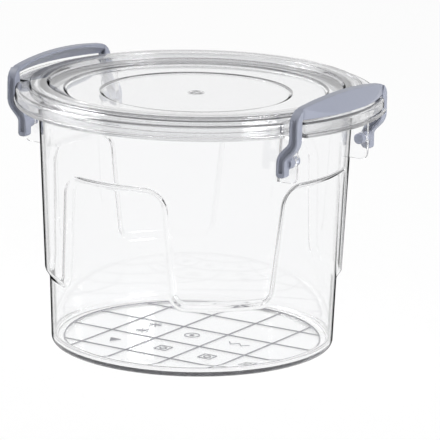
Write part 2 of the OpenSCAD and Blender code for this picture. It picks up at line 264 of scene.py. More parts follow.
def soft_clamp(x, soft=0.15):
    """0 below 0 and 1 above 1, with the two bends rounded."""
    def area(v):
        return np.where(v < 0, 0, np.where(v > 1, v - 0.5, v * v / 2))
    return (area(x + soft) - area(x - soft)) / (2 * soft)


def turned_mesh(name, rows, theta):
    """Closed mesh through rows (radius, height) that start and end on the axis."""
    ring = []
    for radius, height in rows:
        radius = np.broadcast_to(radius, theta.shape)
        height = np.broadcast_to(height, theta.shape)
        ring.append(np.stack([radius * np.cos(theta), radius * np.sin(theta), height], 1))
    n, count = len(theta), len(ring)
    start = (0.0, 0.0, float(np.mean(ring[0][:, 2])))
    end = (0.0, 0.0, float(np.mean(ring[-1][:, 2])))
    points = np.concatenate(ring + [[start], [end]])
    here = np.arange(n)
    after = (here + 1) % n
    faces = []
    for i in range(count - 1):
        a, b = i * n, (i + 1) * n
        faces.extend(zip(a + here, a + after, b + after, b + here))
    first, last = count * n, count * n + 1
    faces.extend((first, int(q), int(p)) for p, q in zip(here, after))
    low = (count - 1) * n
    faces.extend((last, int(low + p), int(low + q)) for p, q in zip(here, after))
    mesh = bpy.data.meshes.new(name)
    mesh.from_pydata(points.tolist(), [], [tuple(int(v) for v in f) for f in faces])
    mesh.shade_smooth()
    mesh.update()
    return mesh


def add_piece(name, mesh, body, materials):
    """Puts a mesh in the scene as a piece that rides on a body."""
    piece = bpy.data.objects.new(name, mesh)
    bpy.context.scene.collection.objects.link(piece)
    for material in materials:
        mesh.materials.append(material)
    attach(piece, body)
    return piece


def arc(base, r, z, radius, start, end, steps=5):
    """Rows along an arc in the section, its centre at radius base + r and height z."""
    rows = []
    for angle in np.radians(np.linspace(start, end, steps + 1)):
        rows.append((base, r + radius * math.cos(angle), z + radius * math.sin(angle)))
    return rows


def laid_rows(marks, bases):
    """Rows of radius and height from marks (base, offset, height); a base may depend on the height."""
    rows = []
    for base, offset, height in marks:
        found = bases[base]
        radius = found(height) if callable(found) else found
        rows.append((np.maximum(radius + offset, LEAST_RADIUS), height))
    return rows


def united(mesh, other):
    """One closed mesh from two that overlap, with crisp edges where they meet."""
    holders = [bpy.data.objects.new(part.name, part) for part in (mesh, other)]
    for holder in holders:
        bpy.context.scene.collection.objects.link(holder)
    join = holders[0].modifiers.new("join", "BOOLEAN")
    join.operation = "UNION"
    join.solver = "MANIFOLD"
    join.object = holders[1]
    bpy.context.view_layer.update()
    evaluated = holders[0].evaluated_get(bpy.context.evaluated_depsgraph_get())
    whole = bpy.data.meshes.new_from_object(evaluated)
    for holder in holders:
        bpy.data.objects.remove(holder)
    whole.materials.clear()
    whole.shade_smooth()
    whole.set_sharp_from_angle(angle=math.radians(40))
    return whole


# ---------------------------------------------------------------------------
# The tub's form
# ---------------------------------------------------------------------------

class WallForm:
    """Outer or inner face of the tub's wall: sunk panels between raised pads, under a band."""

    def __init__(self, size, theta, inset):
        self.size = size
        self.inset = inset
        self.turn = quarter_turn(theta, math.pi / 2)
        run = self.band(size.shoulder_z) - self.panel(size.shoulder_z - size.shoulder_slope)
        pad_run = self.band(size.pad_z + size.pad_slope) - self.panel(size.pad_z)
        side_run = self.band(size.shoulder_z / 2) - self.panel(size.shoulder_z / 2)
        self.side = inset * math.tan(math.atan2(side_run, size.side_slope) / 2)
        self.up = inset * math.tan((math.pi / 2 - math.atan2(size.shoulder_slope, run)) / 2)
        self.down = inset * math.tan((math.pi / 2 - math.atan2(size.pad_slope, pad_run)) / 2)

    def panel(self, z):
        return self.size.panel_r + z * math.tan(self.size.panel_draft)

    def band(self, z):
        return self.size.band_r + z * math.tan(self.size.band_draft)

    def raised(self, z):
        """How far the wall stands out at height z, from 0 in a panel to 1 on a pad or the band."""
        s = self.size
        lean = math.tan(s.panel_lean)
        half = s.panel_half + self.side + (s.shoulder_z - s.panel_corner - z) * lean
        side = (self.band(z) * np.sin(self.turn) - half) * math.cos(s.panel_lean)
        top = np.full_like(side, z - s.shoulder_z - self.up)
        corner = s.panel_corner + self.up
        a, b = np.maximum(side + corner, 0), np.maximum(top + corner, 0)
        reach = np.hypot(a, b)
        panel = np.minimum(np.maximum(side + corner, top + corner), 0) + reach - corner
        share = b * b / np.maximum(reach * reach, NEAR_ZERO)
        slope = s.side_slope + (s.shoulder_slope - s.side_slope) * share
        foot = np.full_like(side, z - s.pad_z - s.pad_slope - self.down)
        pad = s.pad_corner - self.down
        c, d = np.maximum(pad - panel, 0), np.maximum(pad - foot, 0)
        lowered = np.maximum(np.minimum(panel, foot), pad) - np.hypot(c, d)
        share = d * d / np.maximum(c * c + d * d, NEAR_ZERO)
        share = np.where(foot < -2 * s.pad_slope, 1.0, share)
        slope = slope + (s.pad_slope - slope) * share
        return soft_clamp(1 + lowered / slope)

    def __call__(self, z):
        sunk = self.panel(z)
        return sunk + self.raised(z) * (self.band(z) - sunk) - self.inset


def edge_outline(size, theta, main_r, tongue_r, inset):
    """Radius of the flange's or ledge's edge: a circle with a notched tongue on each side."""
    turn = quarter_turn(theta, math.pi)
    sine, cosine = np.sin(turn), np.cos(turn)
    main, tongue = main_r - inset, tongue_r - inset
    y0, y1 = size.notch_y - inset, size.notch_y + size.notch_w + inset
    x0 = size.notch_x - inset
    side = y0 / np.maximum(sine, NEAR_ZERO)
    floor = x0 / np.maximum(cosine, NEAR_ZERO)
    edge = np.where(floor * sine < y1, np.minimum(floor, main), main)
    edge = np.where(side * cosine > x0, np.minimum(side, tongue), edge)
    return np.where(tongue * sine < y0, tongue, edge)


def wall_heights(size, low, high):
    """Heights for the wall's rows, closest at the two slopes."""
    marks = [low]
    fine, middle, coarse = 0.6 * MM, 3.0 * MM, 3.5 * MM
    margin = 3 * MM
    spans = [
        (size.pad_z - margin, coarse),
        (size.pad_z + size.pad_slope + size.pad_corner + 2 * MM, fine),
        (size.shoulder_z - size.panel_corner - margin, middle),
        (size.shoulder_z + margin, fine),
        (high, coarse),
    ]
    for end, step in spans:
        if end <= marks[-1]:
            continue
        count = max(1, round((end - marks[-1]) / step))
        marks.extend(np.linspace(marks[-1], end, count + 1)[1:].tolist())
    return marks


def tub_rows(size, theta):
    """Rows from under the floor, up the outside, over the rim and down inside to the floor."""
    outside = WallForm(size, theta, 0.0)
    inside = WallForm(size, theta, size.wall)
    edge = edge_outline(size, theta, size.flange_r, size.tongue_r, 0.0)
    bases = {"axis": 0.0, "out": outside, "in": inside, "edge": edge}
    tiny, small = 0.15 * MM, 0.6 * MM  # how far rows stand from a bend, to keep it crisp
    flange_top = size.flange_z + size.flange_t
    rounding = size.flange_round
    lip = 0.8 * MM
    marks = [("axis", r, size.foot_h) for r in np.linspace(0.02, size.foot_r - 2 * tiny, 12)]
    marks += [
        ("axis", size.foot_r, size.foot_h - tiny / 3),
        ("axis", size.foot_r + tiny, size.foot_h - tiny),
        ("axis", size.foot_r + 2 * tiny, tiny / 2),
        ("axis", size.foot_r + 4 * tiny, 0.0),
        ("out", -size.low_round - 2 * tiny, 0.0),
    ]
    marks += arc("out", -size.low_round, size.low_round, size.low_round, -90, 0, 7)
    heights = wall_heights(size, size.low_round + small, size.flange_z - 2 * small)
    marks += [("out", 0.0, z) for z in heights]
    marks += arc("out", small, size.flange_z - small, small, 180, 90)
    marks += [("out", small + tiny, size.flange_z), ("edge", -rounding - 3 * tiny, size.flange_z)]
    marks += arc("edge", -rounding, size.flange_z + rounding, rounding, -90, 0)
    marks += arc("edge", -rounding, flange_top - rounding, rounding, 0, 90)
    marks += [("edge", -rounding - 3 * tiny, flange_top), ("out", small + tiny, flange_top)]
    marks += arc("out", small, flange_top + small, small, 270, 180)
    marks += [("out", 0.0, z) for z in np.linspace(flange_top + 2 * small, size.rim_z - lip - tiny, 3)]
    marks += arc("out", -lip, size.rim_z - lip, lip, 0, 90)
    marks += arc("in", lip / 2, size.rim_z - lip / 2, lip / 2, 90, 180, 3)
    heights = wall_heights(size, size.floor_z + size.inner_round + small, size.rim_z - lip - tiny)
    marks += [("in", 0.0, z) for z in reversed(heights)]
    marks += arc("in", -size.inner_round, size.floor_z + size.inner_round, size.inner_round, 0, -90, 8)
    marks += [("axis", r, size.floor_z) for r in np.linspace(size.foot_r, 0.02, 12)]
    return laid_rows(marks, bases)


BORE_STEP = 7.5  # degrees
WELD = 0.001 * MM


def ear_mesh(size):
    """Four flat ears with a rounded lower corner and a bore, as one closed mesh."""
    def root(z):
        band = size.band_r + z * math.tan(size.band_draft)
        return math.sqrt(band ** 2 - size.ear_y ** 2) - size.wall / 4

    top = size.flange_z + size.flange_t / 2
    outline = [(root(top), top), (root(size.ear_z), size.ear_z)]
    centre = (size.ear_x - size.ear_round, size.ear_z + size.ear_round)
    for angle in np.radians(np.linspace(-90, 0, 9)):
        outline.append((
            centre[0] + size.ear_round * math.cos(angle),
            centre[1] + size.ear_round * math.sin(angle),
        ))
    outline.append((size.ear_x, top))
    bore = [
        (size.pivot_x + size.bore_r * math.cos(a), size.pivot_z + size.bore_r * math.sin(a))
        for a in np.radians(np.arange(0, 360, BORE_STEP))
    ]
    curve = bpy.data.curves.new("ear_outline", "CURVE")
    curve.dimensions = "2D"
    curve.fill_mode = "BOTH"
    bevel = 0.25 * MM
    curve.extrude = size.ear_t / 2 - bevel
    curve.bevel_depth = bevel
    curve.offset = -bevel
    curve.bevel_resolution = 2
    for loop in (outline, bore):
        spline = curve.splines.new("POLY")
        spline.points.add(len(loop) - 1)
        for point, (x, z) in zip(spline.points, loop):
            point.co = (x, z, 0.0, 1.0)
        spline.use_cyclic_u = True
    holder = bpy.data.objects.new("ear_outline", curve)
    bpy.context.scene.collection.objects.link(holder)
    bpy.context.view_layer.update()
    plate = bpy.data.meshes.new_from_object(holder)
    bpy.data.objects.remove(holder)
    upright = Matrix.Rotation(math.pi / 2, 4, "X")
    points, faces = [], []
    for side in (1, -1):
        for end in (1, -1):
            shift = Matrix.Translation((0, end * (size.ear_y - size.ear_t / 2), 0))
            start = len(points)
            for vertex in plate.vertices:
                p = shift @ upright @ vertex.co
                points.append((side * p.x, p.y, p.z))
            order = 1 if side > 0 else -1
            faces += [tuple(start + v for v in f.vertices)[::order] for f in plate.polygons]
    mesh = bpy.data.meshes.new("tub_ears")
    mesh.from_pydata(points, [], faces)
    joined = bmesh.new()
    joined.from_mesh(mesh)
    bmesh.ops.remove_doubles(joined, verts=joined.verts, dist=WELD)
    bmesh.ops.recalc_face_normals(joined, faces=joined.faces)
    joined.to_mesh(mesh)
    joined.free()
    return mesh


# ---------------------------------------------------------------------------
# The lid's form
# ---------------------------------------------------------------------------

AXIS_GAP = 0.02 * MM
GATE_RING = ((0.30, 0.15), (0.45, 0.5), (0.62, 0.62), (0.80, 0.5))  # share of its radius, rise in mm
SHELF_OUT, SHELF_DROP = 2.4 * MM, 0.7 * MM  # from the pan's edge, and from the ledge's top
WALL_IN, WALL_RISE = 1.7 * MM, 0.8 * MM  # from the ring's inner radius, and from the ledge's top
LEANING_START = 158  # degrees, where the rounding over the ring's leaning inner wall starts


def lid_rows(lid, tub, theta):
    """Rows from the top's centre, over ring and ledge, down the skirt and back under to the centre."""
    edge = edge_outline(tub, theta, lid.ledge_r, lid.tongue_r, 0.0)
    inner_edge = edge_outline(tub, theta, lid.ledge_r, lid.tongue_r, lid.wall)
    bases = {"axis": 0.0, "edge": edge, "inner": inner_edge}
    tiny, small = 0.12 * MM, 0.5 * MM  # how far rows stand from a bend, to keep it crisp
    wall = lid.wall
    big = lid.ledge_round
    ring = lid.ring_round
    shelf_r, shelf_z = lid.pan_r + SHELF_OUT, lid.ledge_z - SHELF_DROP
    wall_r, wall_z = lid.ring_in - WALL_IN, lid.ledge_z + WALL_RISE
    slope_r = lid.disc_r + lid.disc_slope
    gate = lid.gate_r
    marks = [("axis", AXIS_GAP, lid.disc_z + 0.1 * MM)]
    marks += [("axis", gate * share, lid.disc_z + rise * MM) for share, rise in GATE_RING]
    marks += [("axis", gate, lid.disc_z), ("axis", gate + small, lid.disc_z)]
    marks += [("axis", r, lid.disc_z) for r in np.linspace(gate + 4 * MM, lid.disc_r - small, 12)]
    marks += [
        ("axis", lid.disc_r - tiny, lid.disc_z),
        ("axis", lid.disc_r, lid.disc_z + tiny / 2),
        ("axis", slope_r - tiny, lid.pan_z - tiny / 2),
        ("axis", slope_r, lid.pan_z),
        ("axis", slope_r + small, lid.pan_z),
        ("axis", lid.pan_r - small, lid.pan_z),
        ("axis", lid.pan_r, lid.pan_z + tiny / 2),
        ("axis", lid.pan_r + small, lid.pan_z + small * 0.7),
        ("axis", shelf_r - small, shelf_z - small * 0.7),
        ("axis", shelf_r, shelf_z - tiny / 2),
        ("axis", shelf_r + small, shelf_z),
        ("axis", wall_r - small, wall_z - tiny),
        ("axis", wall_r, wall_z + tiny),
        ("axis", wall_r + small / 2, wall_z + small),
    ]
    marks += arc("axis", lid.ring_in + ring * 0.55, lid.ring_z - ring, ring, LEANING_START, 90)
    marks += [
        ("axis", lid.ring_in + ring + tiny * 2, lid.ring_z),
        ("axis", lid.ring_r - ring - tiny, lid.ring_z),
    ]
    marks += arc("axis", lid.ring_r - ring, lid.ring_z - ring, ring, 90, 0)
    marks += arc("axis", lid.ring_r + small, lid.ledge_z + small, small, 180, 270)
    marks += [
        ("axis", lid.ring_r + small + tiny, lid.ledge_z),
        ("edge", -big - tiny * 2, lid.ledge_z),
    ]
    marks += arc("edge", -big, lid.ledge_z - big, big, 90, 0, 7)
    marks += [("edge", 0.0, lid.ledge_z - big - small), ("edge", 0.0, lid.skirt_z + 2 * small)]
    marks += arc("edge", -small, lid.skirt_z + small, small, 0, -90)
    marks += arc("inner", small, lid.skirt_z + small, small, 270, 180)
    marks += [
        ("inner", 0.0, lid.skirt_z + 2 * small),
        ("inner", 0.0, lid.ledge_z - wall - 2 * small),
    ]
    marks += arc("inner", -small, lid.ledge_z - wall - small, small, 0, 90)
    marks += [
        ("inner", -small - tiny, lid.ledge_z - wall),
        ("axis", lid.ring_r - wall + small, lid.ledge_z - wall),
        ("axis", lid.ring_r - wall + tiny, lid.ledge_z - wall + tiny / 2),
        ("axis", lid.ring_r - wall, lid.ledge_z - wall + small),
    ]
    marks += arc("axis", lid.ring_r - wall - small, lid.ring_z - wall - small, small, 0, 90)
    marks += arc("axis", lid.plug_r + small, lid.ring_z - wall - small, small, 90, 180)
    marks += [
        ("axis", lid.plug_r, lid.ring_z - wall - 2 * small),
        ("axis", lid.plug_r, lid.plug_z + wall),
    ]
    marks += arc("axis", lid.plug_r - wall / 2, lid.plug_z + wall / 2, wall / 2, 0, -90)
    marks += arc("axis", lid.plug_r - wall / 2, lid.plug_z + wall / 2, wall / 2, 270, 180)
    marks += [
        ("axis", lid.plug_r - wall, lid.plug_z + wall),
        ("axis", lid.plug_r - wall, wall_z - wall - small),
        ("axis", lid.plug_r - wall - tiny, wall_z - wall),
        ("axis", lid.plug_r - wall - small, wall_z - wall),
        ("axis", shelf_r + small, shelf_z - wall),
        ("axis", shelf_r, shelf_z - wall - tiny / 2),
        ("axis", shelf_r - small, shelf_z - wall - small * 0.7),
        ("axis", lid.pan_r + small, lid.pan_z - wall + small * 0.7),
        ("axis", lid.pan_r, lid.pan_z - wall + tiny / 2),
        ("axis", lid.pan_r - small, lid.pan_z - wall),
        ("axis", slope_r + small, lid.pan_z - wall),
        ("axis", slope_r, lid.pan_z - wall),
        ("axis", lid.disc_r, lid.disc_z - wall + tiny / 2),
        ("axis", lid.disc_r - tiny, lid.disc_z - wall),
    ]
    marks += [("axis", r, lid.disc_z - wall) for r in np.linspace(lid.disc_r - small, AXIS_GAP, 12)]
    return laid_rows(marks, bases)


# ---------------------------------------------------------------------------
# The floor's ribs and marks
# ---------------------------------------------------------------------------

RIBS_EACH_WAY = 3
RING_CORNERS = 180
SUNK = 0.1 * MM  # how deep the lines' feet stand in the floor
TOP_SHARE = 0.36  # distance from a line's middle to its top's edge, as a share of its width
STAR_TURNS = tuple(math.radians(degrees) for degrees in (0, 60, 120))
FLOOR_MARKS = (  # kind, and its place in mm
    ("target", 0.3, -0.6),
    ("framed", 2.1, -41.0),
    ("framed", 39.7, -41.2),
    ("framed", 74.8, -42.8),
    ("wedge", -39.2, -43.3),
    ("star", -36.7, 7.0),
    ("star", -36.1, -11.2),
    ("zigzag", 40.0, -1.3),
)


class FloorLines:
    """Low bars with sloped sides that stand on the floor."""

    def __init__(self, low, high, width):
        self.low, self.high, self.width = low, high, width
        self.points, self.faces = [], []

    def prism(self, corners, shrunk):
        """Closed block over corners that run anticlockwise, with a smaller top."""
        n, start = len(corners), len(self.points)
        self.points += [(x, y, self.low) for x, y in corners]
        self.points += [(x, y, self.high) for x, y in shrunk]
        self.faces.append(tuple(start + i for i in reversed(range(n))))
        self.faces.append(tuple(start + n + i for i in range(n)))
        for i in range(n):
            j = (i + 1) % n
            self.faces.append((start + i, start + j, start + n + j, start + n + i))

    def bar(self, start, end):
        """Bar from one point of the floor to another."""
        a, b = Vector(start), Vector(end)
        along = (b - a).normalized()
        across = Vector((-along.y, along.x))
        rings = []
        for share in (0.5, TOP_SHARE):
            side, tip = across * self.width * share, along * self.width * (0.5 - share)
            rings.append([a - side + tip, b - side - tip, b + side - tip, a + side + tip])
        self.prism(*rings)

    def loop(self, x, y, radius, corners, turn=0.0):
        """Bars round a regular outline."""
        places = self.outline(x, y, radius, corners, turn)
        for start, end in zip(places, places[1:] + places[:1]):
            self.bar(start, end)

    def dot(self, x, y, radius, corners, turn=0.0):
        """Filled regular outline."""
        self.prism(
            self.outline(x, y, radius, corners, turn),
            self.outline(x, y, radius - (0.5 - TOP_SHARE) * self.width, corners, turn),
        )

    def ring(self, radius, corners):
        """Round rib about the middle of the floor, in one closed piece."""
        start = len(self.points)
        top = [(TOP_SHARE, self.high), (-TOP_SHARE, self.high)]
        section = [(-0.5, self.low), (0.5, self.low)] + top
        for angle in (2 * math.pi * i / corners for i in range(corners)):
            for share, z in section:
                r = radius + share * self.width
                self.points.append((r * math.cos(angle), r * math.sin(angle), z))
        for i in range(corners):
            here, there = start + 4 * i, start + 4 * ((i + 1) % corners)
            for k in range(4):
                m = (k + 1) % 4
                self.faces.append((here + k, there + k, there + m, here + m))

    def outline(self, x, y, radius, corners, turn):
        angles = [turn + 2 * math.pi * i / corners for i in range(corners)]
        return [(x + radius * math.cos(a), y + radius * math.sin(a)) for a in angles]

    def mark(self, kind, x, y, radius):
        """One of the plain moulded marks."""
        if kind == "target":
            self.loop(x, y, radius, 24)
            self.dot(x, y, radius * 0.35, 12)
        elif kind == "framed":
            self.loop(x, y, radius * 1.3, 4, math.pi / 4)
            self.loop(x, y, radius * 0.45, 12)
        elif kind == "wedge":
            self.dot(x, y, radius, 3, -math.pi / 2)
        elif kind == "star":
            for angle in STAR_TURNS:
                dx, dy = radius * math.cos(angle), radius * math.sin(angle)
                self.bar((x - dx, y - dy), (x + dx, y + dy))
        elif kind == "zigzag":
            steps = [(x + radius * 0.8 * i, y + radius * 0.45 * (-1) ** i) for i in (-2, -1, 0, 1, 2)]
            for start, end in zip(steps, steps[1:]):
                self.bar(start, end)
        else:
            raise ValueError("unknown floor mark " + kind)


# ---------------------------------------------------------------------------
# Plastics
# ---------------------------------------------------------------------------

# Noise scales are waves per metre, and depths are metres.
HAZE_SCALE, HAZE_ROUGHNESS = 60.0, 0.03
WAVE_SCALE, WAVE_STRETCH = 9.0, (1, 1, 0.35)
WAVE_STRENGTH, WAVE_DEPTH = 0.25, 0.6 * MM
SHADOW_TINT = (0.94, 0.94, 0.94)
LEVEL_START, LEVEL_FULL = 0.985, 0.997  # upright share of a nearly level face's normal
FROST_SCALE, FROST_ROUGHNESS, FROST_LIGHTER = 900.0, 0.6, 1.25
FROST_STRENGTH, FROST_DEPTH = 0.3, 0.1 * MM
CLIP_FLOW_SCALE, CLIP_FLOW_STRETCH = 28.0, (1, 0.4, 1)
CLIP_GRAIN_SCALE, CLIP_GRAIN_STRENGTH, CLIP_GRAIN_DEPTH = 1400.0, 0.15, 0.05 * MM
CLIP_SPECULAR, CLIP_ROUGH_SPREAD = 0.35, 0.06
# Painted shade in the clips' corners: the occlusion value where it is darkest, and the occlusion
# samples.
PAINTED_SHADE_DEEPEST, PAINTED_SHADE_SAMPLES = 0.55, 8


def new_material(name):
    """Empty node material with its output node."""
    material = bpy.data.materials.new(name)
    material.use_nodes = True
    tree = material.node_tree
    tree.nodes.clear()
    return material, tree, tree.nodes.new("ShaderNodeOutputMaterial")


def add_node(tree, kind, values=None, **settings):
    """Node with settings, and with numbers, colours or other nodes' outputs for its inputs."""
    node = tree.nodes.new(kind)
    for name, value in settings.items():
        setattr(node, name, value)
    for name, value in (values or {}).items():
        if isinstance(value, bpy.types.NodeSocket):
            tree.links.new(value, node.inputs[name])
        else:
            node.inputs[name].default_value = value
    return node


def noise(tree, scale, detail, stretch=(1, 1, 1)):
    """Noise on object coordinates."""
    place = add_node(tree, "ShaderNodeTexCoord").outputs["Object"]
    mapping = add_node(tree, "ShaderNodeMapping", {"Vector": place, "Scale": stretch})
    values = {"Vector": mapping.outputs["Vector"], "Scale": scale, "Detail": detail}
    return add_node(tree, "ShaderNodeTexNoise", values).outputs["Fac"]


def maths(tree, operation, first, second=0.0):
    """Result of one step of arithmetic."""
    return add_node(tree, "ShaderNodeMath", {0: first, 1: second}, operation=operation).outputs["Value"]


def ranged(tree, value, low, high, to_low=0.0, to_high=1.0):
    """Value carried over from one range to another."""
    values = {"Value": value, "From Min": low, "From Max": high, "To Min": to_low, "To Max": to_high}
    return add_node(tree, "ShaderNodeMapRange", values).outputs["Result"]


def bumped(tree, height, strength, depth):
    """Normal of a surface that a height bumps."""
    values = {"Height": height, "Strength": strength, "Distance": depth}
    return add_node(tree, "ShaderNodeBump", values).outputs["Normal"]


def mixed_colour(tree, amount, first, second):
    """Mix of two colours."""
    values = {"Factor": amount, "A": first, "B": second}
    return add_node(tree, "ShaderNodeMix", values, data_type="RGBA").outputs["Result"]


def mixed_shader(tree, amount, first, second):
    """Mix of two shaders."""
    values = {0: amount, 1: first.outputs[0], 2: second.outputs[0]}
    return add_node(tree, "ShaderNodeMixShader", values)


def off_the_flats(tree):
    """1 on a wall and 0 on a level face, so that the painted edge shade leaves lid and floor clear from
    low down.
    """
    surface = add_node(tree, "ShaderNodeNewGeometry").outputs["Normal"]
    upright = add_node(tree, "ShaderNodeSeparateXYZ", {"Vector": surface}).outputs["Z"]
    return ranged(tree, maths(tree, "ABSOLUTE", upright), LEVEL_START, LEVEL_FULL, 1.0, 0.0)


def clear_plastic(look, name, density):
    """Clear moulded plastic: slight flow waves, painted shade where it is seen edge-on, and darker
    along long ways through it.
    """
    material, tree, output = new_material(name)
    haze = noise(tree, HAZE_SCALE, 2.0)
    waves = noise(tree, WAVE_SCALE, 1.0, WAVE_STRETCH)
    plastic = add_node(tree, "ShaderNodeBsdfPrincipled", {
        "Base Color": (*look.clear_tint, 1),
        "Transmission Weight": 1.0,
        "IOR": look.clear_ior,
        "Roughness": ranged(tree, haze, 0.0, 1.0, 0.0, HAZE_ROUGHNESS),
        "Normal": bumped(tree, waves, WAVE_STRENGTH, WAVE_DEPTH),
    })
    # Painted shade: where the plastic is seen edge-on, a dark see-through layer replaces part of it and
    # draws dark outlines.
    facing = add_node(tree, "ShaderNodeLayerWeight", {"Blend": 0.5}).outputs["Facing"]
    edge = ranged(tree, facing, look.edge_start, look.edge_full)
    painted_edge_shade = add_node(tree, "ShaderNodeBsdfTransparent", {"Color": (*look.edge_shade, 1)})
    edged = mixed_shader(tree, maths(tree, "MULTIPLY", edge, off_the_flats(tree)), plastic, painted_edge_shade)
    path = add_node(tree, "ShaderNodeLightPath").outputs
    trapped = maths(tree, "GREATER_THAN", path["Ray Depth"], look.way_out)
    open_way = add_node(tree, "ShaderNodeBsdfTransparent", {"Color": (*SHADOW_TINT, 1)})
    straight_on = maths(tree, "MAXIMUM", path["Is Shadow Ray"], trapped)
    surface = mixed_shader(tree, straight_on, edged, open_way)
    tree.links.new(surface.outputs["Shader"], output.inputs["Surface"])
    values = {"Color": (*look.clear_depth, 1), "Density": density}
    depth = add_node(tree, "ShaderNodeVolumeAbsorption", values)
    tree.links.new(depth.outputs["Volume"], output.inputs["Volume"])
    return material


def frosted_rib(look):
    """Frosted grey of the ribs and marks on the floor."""
    material, tree, output = new_material("frosted_rib")
    grain = noise(tree, FROST_SCALE, 2.0)
    lighter = [min(1, FROST_LIGHTER * part) for part in look.rib_grey]
    plastic = add_node(tree, "ShaderNodeBsdfPrincipled", {
        "Base Color": mixed_colour(tree, grain, (*look.rib_grey, 1), (*lighter, 1)),
        "Roughness": FROST_ROUGHNESS,
        "Normal": bumped(tree, grain, FROST_STRENGTH, FROST_DEPTH),
    })
    tree.links.new(plastic.outputs["BSDF"], output.inputs["Surface"])
    return material


def clip_plastic(look):
    """Satin grey plastic with faint flow marks, a fine grain and painted shade in its grooves and
    corners.
    """
    material, tree, output = new_material("clip_plastic")
    flow = noise(tree, CLIP_FLOW_SCALE, 3.0, CLIP_FLOW_STRETCH)
    tone = mixed_colour(tree, flow, (*look.clip_dark, 1), (*look.clip_grey, 1))
    # Painted shade: occlusion darkens the clips' colour in their grooves and corners.
    corners = add_node(
        tree, "ShaderNodeAmbientOcclusion", {"Distance": look.painted_shade_reach},
        samples=PAINTED_SHADE_SAMPLES, only_local=True,
    )
    out_of_painted_shade = ranged(tree, corners.outputs["AO"], PAINTED_SHADE_DEEPEST, 1.0)
    grain = noise(tree, CLIP_GRAIN_SCALE, 2.0)
    smoothest, roughest = look.clip_rough - CLIP_ROUGH_SPREAD, look.clip_rough + CLIP_ROUGH_SPREAD
    plastic = add_node(tree, "ShaderNodeBsdfPrincipled", {
        "Base Color": mixed_colour(tree, out_of_painted_shade, (*look.clip_painted_shade, 1), tone),
        "Specular IOR Level": CLIP_SPECULAR,
        "Roughness": ranged(tree, grain, 0.0, 1.0, smoothest, roughest),
        "Normal": bumped(tree, grain, CLIP_GRAIN_STRENGTH, CLIP_GRAIN_DEPTH),
    })
    tree.links.new(plastic.outputs["BSDF"], output.inputs["Surface"])
    return material


# ---------------------------------------------------------------------------
# Operators: one for each piece or group of like pieces, and one for the stage
# ---------------------------------------------------------------------------

class TUB_OT_body(bpy.types.Operator):
    """Mould the clear tub: floor, stepped wall, flange and rim in one piece, and its four ears"""

    bl_idname = "tub.body"
    bl_label = "Tub"

    def execute(self, context):
        size = context.scene.tub_sizes
        look = context.scene.tub_finishes
        plastic = clear_plastic(look, "clear_tub", look.tub_density)
        theta = round_columns()
        wall = turned_mesh("tub_wall", tub_rows(size, theta), theta)
        body = add_piece("tub_body", united(wall, ear_mesh(size)), "tub", [plastic])
        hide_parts("tub")
        return {"FINISHED"}


class TUB_OT_floor_grid(bpy.types.Operator):
    """Mould the grid of ribs and the small marks into the floor"""

    bl_idname = "tub.floor_grid"
    bl_label = "Floor grid"

    def execute(self, context):
        size, grid = context.scene.tub_sizes, context.scene.floor_grid
        rib = frosted_rib(context.scene.tub_finishes)
        low = size.floor_z - SUNK
        lines = FloorLines(low, size.floor_z + grid.rib_h, grid.rib_w)
        for k in range(-RIBS_EACH_WAY, RIBS_EACH_WAY + 1):
            for crossing, along_x in ((grid.cross_x, False), (grid.cross_y, True)):
                place = crossing + k * grid.pitch
                if abs(place) > size.foot_r - grid.rib_w:
                    continue
                half = math.sqrt(size.foot_r ** 2 - place ** 2)
                ends = [(-half, place), (half, place)] if along_x else [(place, -half), (place, half)]
                lines.bar(*ends)
        lines.ring(size.foot_r, RING_CORNERS)
        marks = FloorLines(low, size.floor_z + grid.mark_h, grid.mark_w)
        for kind, x, y in FLOOR_MARKS:
            marks.mark(kind, x * MM, y * MM, grid.mark_r)
        points = lines.points + marks.points
        faces = lines.faces + [tuple(v + len(lines.points) for v in face) for face in marks.faces]
        mesh = bpy.data.meshes.new("floor_grid")
        mesh.from_pydata(points, [], faces)
        add_piece("floor_grid", mesh, "tub", [rib])
        return {"FINISHED"}


class TUB_OT_lid(bpy.types.Operator):
    """Mould the clear lid with its ring, ledge, skirt and plug ring"""

    bl_idname = "tub.lid"
    bl_label = "Lid"

    def execute(self, context):
        lid, tub = context.scene.lid_sizes, context.scene.tub_sizes
        look = context.scene.tub_finishes
        plastic = clear_plastic(look, "clear_lid", look.lid_density)
        theta = round_columns()
        mesh = turned_mesh("lid_top", lid_rows(lid, tub, theta), theta)
        mesh.flip_normals()
        piece = add_piece("lid_top", mesh, "lid", [plastic])
        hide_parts("lid")
        return {"FINISHED"}


CLIP_VOXEL, CLIP_SMOOTHING = 0.36 * MM, 3


class TUB_OT_clips(bpy.types.Operator):
    """Mould the two grey clips, with soft edges"""

    bl_idname = "tub.clips"
    bl_label = "Clips"

    def execute(self, context):
        plastic = clip_plastic(context.scene.tub_finishes)
        for node in ("clip_left", "clip_right"):
            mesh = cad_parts[node].data.copy()
            mesh.name = node + "_moulding"
            mesh.materials.clear()
            piece = add_piece(node + "_moulding", mesh, node, [plastic])
            remesh = piece.modifiers.new("skin", "REMESH")
            remesh.mode = "VOXEL"
            remesh.voxel_size = CLIP_VOXEL
            remesh.use_smooth_shade = True
            smooth = piece.modifiers.new("soften", "SMOOTH")
            smooth.factor = 0.5
            smooth.iterations = CLIP_SMOOTHING
            bpy.context.view_layer.update()
            evaluated = piece.evaluated_get(bpy.context.evaluated_depsgraph_get())
            soft = bpy.data.meshes.new_from_object(evaluated)
            piece.modifiers.clear()
            piece.data = soft
            soft.shade_smooth()
            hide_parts(node)
        return {"FINISHED"}


